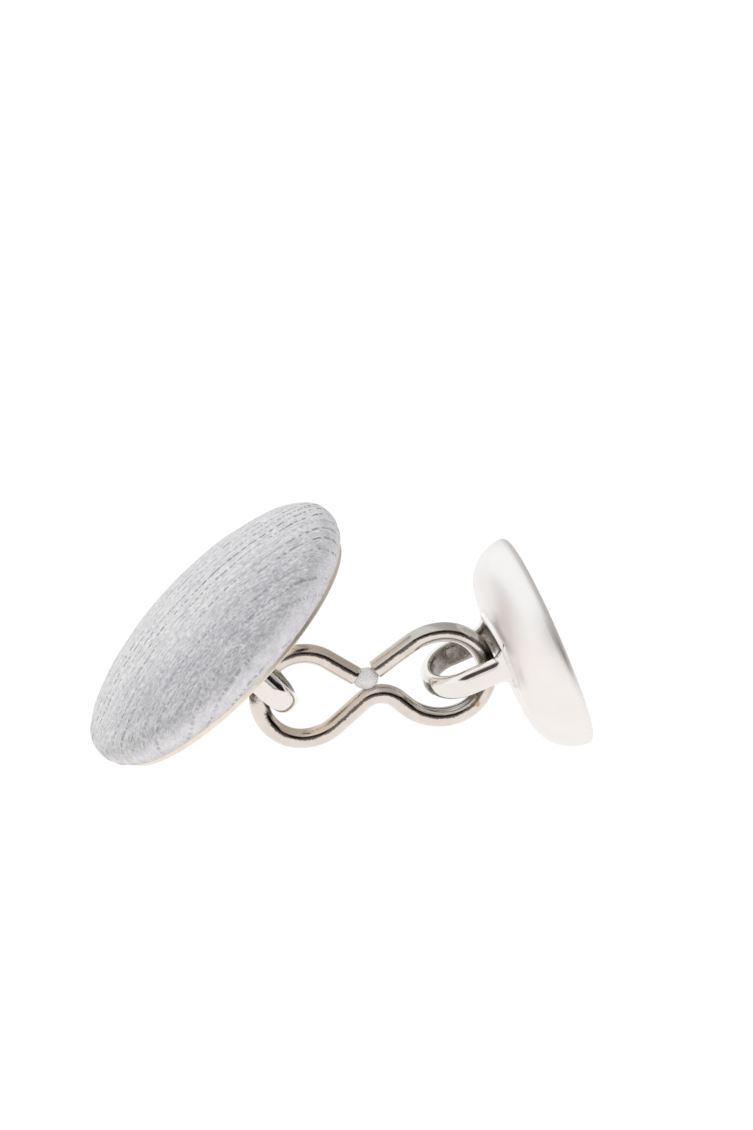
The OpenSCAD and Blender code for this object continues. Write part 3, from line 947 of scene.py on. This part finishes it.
def makeWorld(r):
    world = bpy.data.worlds.new("room")
    bpy.context.scene.world = world
    world.use_nodes = True
    tree = world.node_tree
    tree.nodes.clear()
    way = addNode(tree, "ShaderNodeTexCoord").outputs["Generated"]

    def along(axis):
        return addNode(tree, "ShaderNodeVectorMath", {0: way, 1: axis}, operation="DOT_PRODUCT").outputs["Value"]

    toDim = along(Vector(r["dimToward"]).normalized())
    inDim = addNode(tree, "ShaderNodeMapRange", {"Value": toDim, "From Min": r["dimEdge"][0],
                                                 "From Max": r["dimEdge"][1]}, interpolation_type="SMOOTHSTEP")
    deep = addNode(tree, "ShaderNodeMapRange", {"Value": toDim, "From Min": r["dimDeep"][0],
                                                "From Max": r["dimDeep"][1]})
    dim = addNode(tree, "ShaderNodeMix", {"Factor": deep.outputs[0], 6: linear(r["dimNear"]),
                                          7: linear(r["dimFar"])}, data_type="RGBA")
    colour = addNode(tree, "ShaderNodeMix", {"Factor": inDim.outputs[0], 6: linear(r["white"]),
                                             7: dim.outputs[2]}, data_type="RGBA").outputs[2]
    for card in cards.values():
        azimuth, elevation = (math.radians(v) for v in card["at"])
        toward = Vector((math.sin(azimuth) * math.cos(elevation), -math.cos(azimuth) * math.cos(elevation),
                         math.sin(elevation)))
        across = toward.cross(Vector((0, 0, 1))).normalized()
        far = None
        for axis, half in zip((across, across.cross(toward)), card["half"]):
            share = addNode(tree, "ShaderNodeMath", {0: along(axis), 1: 1 / math.sin(math.radians(half))},
                            operation="MULTIPLY")
            square = addNode(tree, "ShaderNodeMath", {0: share.outputs[0], 1: share.outputs[0],
                                                      2: far.outputs[0] if far else 0.0},
                             operation="MULTIPLY_ADD")
            far = square
        edge = addNode(tree, "ShaderNodeMapRange", {"Value": far.outputs[0], "From Min": 1 - card["soft"],
                                                    "From Max": 1 + card["soft"], "To Min": 1.0, "To Max": 0.0},
                       interpolation_type="SMOOTHSTEP")
        before = addNode(tree, "ShaderNodeMath", {0: along(toward), 1: 0.0}, operation="GREATER_THAN")
        mask = addNode(tree, "ShaderNodeMath", {0: edge.outputs[0], 1: before.outputs[0]}, operation="MULTIPLY")
        colour = addNode(tree, "ShaderNodeMix", {"Factor": mask.outputs[0], 6: colour,
                                                 7: linear(card["colour"])}, data_type="RGBA").outputs[2]
    ray = addNode(tree, "ShaderNodeLightPath")
    mirrored = addNode(tree, "ShaderNodeBackground", {"Color": colour, "Strength": r["strength"]})
    soft = addNode(tree, "ShaderNodeBackground", {"Color": linear(r["white"]), "Strength": r["softLight"]})
    plain = addNode(tree, "ShaderNodeBackground", {"Color": linear(r["white"]), "Strength": 1.0})
    light = addNode(tree, "ShaderNodeMixShader", {0: ray.outputs["Is Glossy Ray"], 1: soft.outputs[0],
                                                  2: mirrored.outputs[0]})
    both = addNode(tree, "ShaderNodeMixShader", {0: ray.outputs["Is Camera Ray"], 1: light.outputs[0],
                                                 2: plain.outputs[0]})
    addNode(tree, "ShaderNodeOutputWorld", {"Surface": both.outputs[0]})


def makeFloor(r):
    material, tree, shader = newMaterial("paper_sweep_matt")
    place = inMillimetres(tree)
    mottle = addNode(tree, "ShaderNodeTexNoise", {"Vector": place, "Scale": 0.05, "Detail": 2.0})
    tone = addNode(tree, "ShaderNodeMix", {"Factor": mottle.outputs["Fac"], 6: linear(r["floorColour"]),
                                           7: linear(r["floorMottle"])}, data_type="RGBA")
    tree.links.new(tone.outputs[2], shader.inputs["Base Color"])
    shader.inputs["Roughness"].default_value = 0.9
    ray = addNode(tree, "ShaderNodeLightPath")
    seen = addNode(tree, "ShaderNodeMath", {0: ray.outputs["Is Camera Ray"], 1: ray.outputs["Is Glossy Ray"]},
                   operation="MAXIMUM")
    seen = addNode(tree, "ShaderNodeMath", {0: seen.outputs[0], 1: ray.outputs["Is Transmission Ray"]},
                   operation="MAXIMUM")
    share = addNode(tree, "ShaderNodeMath", {0: seen.outputs[0], 1: r["floorShare"]}, operation="MULTIPLY")
    apart = addNode(tree, "ShaderNodeSeparateXYZ", {0: place})
    behind = addNode(tree, "ShaderNodeMapRange", {"Value": apart.outputs["Y"], "From Min": r["floorMirroredFrom"][0],
                                                  "From Max": r["floorMirroredFrom"][1]})
    bright = addNode(tree, "ShaderNodeMath", {0: ray.outputs["Is Camera Ray"], 1: behind.outputs[0]},
                     operation="MAXIMUM")
    shown = addNode(tree, "ShaderNodeMix", {"Factor": bright.outputs[0], 6: linear(r["floorMirrored"]),
                                            7: linear(r["white"])}, data_type="RGBA")
    before = addNode(tree, "ShaderNodeMath", {0: apart.outputs["Y"], 1: -1.0}, operation="MULTIPLY")
    gone = addNode(tree, "ShaderNodeMapRange", {"Value": before.outputs[0], "From Min": r["floorDarkFrom"][0],
                                                "From Max": r["floorDarkFrom"][1]})
    sideways = addNode(tree, "ShaderNodeMath", {0: before.outputs[0], 1: r["floorDarkSlant"],
                                                2: apart.outputs["X"]}, operation="MULTIPLY_ADD")
    sideEdge = addNode(tree, "ShaderNodeMapRange", {"Value": sideways.outputs[0], "From Min": r["floorDarkSide"][0],
                                                    "From Max": r["floorDarkSide"][1]})
    dark = addNode(tree, "ShaderNodeMath", {0: gone.outputs[0], 1: sideEdge.outputs[0]}, operation="MULTIPLY")
    dark = addNode(tree, "ShaderNodeMath", {0: dark.outputs[0], 1: ray.outputs["Is Glossy Ray"]},
                   operation="MULTIPLY")
    shown = addNode(tree, "ShaderNodeMix", {"Factor": dark.outputs[0], 6: shown.outputs[2],
                                            7: linear(r["floorDark"])}, data_type="RGBA")
    white = addNode(tree, "ShaderNodeEmission", {"Color": shown.outputs[2], "Strength": r["floorGlow"]})
    both = addNode(tree, "ShaderNodeMixShader", {0: share.outputs[0], 1: shader.outputs[0], 2: white.outputs[0]})
    out = next(n for n in tree.nodes if n.type == "OUTPUT_MATERIAL")
    tree.links.new(both.outputs[0], out.inputs["Surface"])
    rings = [[Vector((radius * math.cos(2 * math.pi * j / 96), radius * math.sin(2 * math.pi * j / 96), 0))
              for j in range(96)] for radius in (1, 20, 60, 200, r["floorRadius"])]
    points, faces = ringMesh(rings)
    faces.append(tuple(range(95, -1, -1)))
    mesh = bpy.data.meshes.new("floor")
    mesh.from_pydata([p * mm for p in points], [], faces)
    mesh.materials.append(material)
    floor = bpy.data.objects.new("floor", mesh)
    bpy.context.scene.collection.objects.link(floor)
    floor.location.z = cadLow.z - 0.01 * mm


def softbox(name, place, size, power):
    # lights matt surfaces alone: what polished metal mirrors is drawn in the world
    data = bpy.data.lights.new(name, "AREA")
    data.shape = "DISK"
    data.size = size * mm
    data.energy = power
    box = bpy.data.objects.new(name, data)
    bpy.context.scene.collection.objects.link(box)
    box.visible_glossy = False
    box.location = Vector(place) * mm
    box.rotation_mode = "QUATERNION"
    box.rotation_quaternion = (-Vector(place)).to_track_quat("-Z", "Y")


makeWorld(room)
makeFloor(room)
softbox("keySoftbox", (-170, 110, 210), 120, 0.43)
bpy.context.scene.view_settings.view_transform = "Standard"
print("room made")
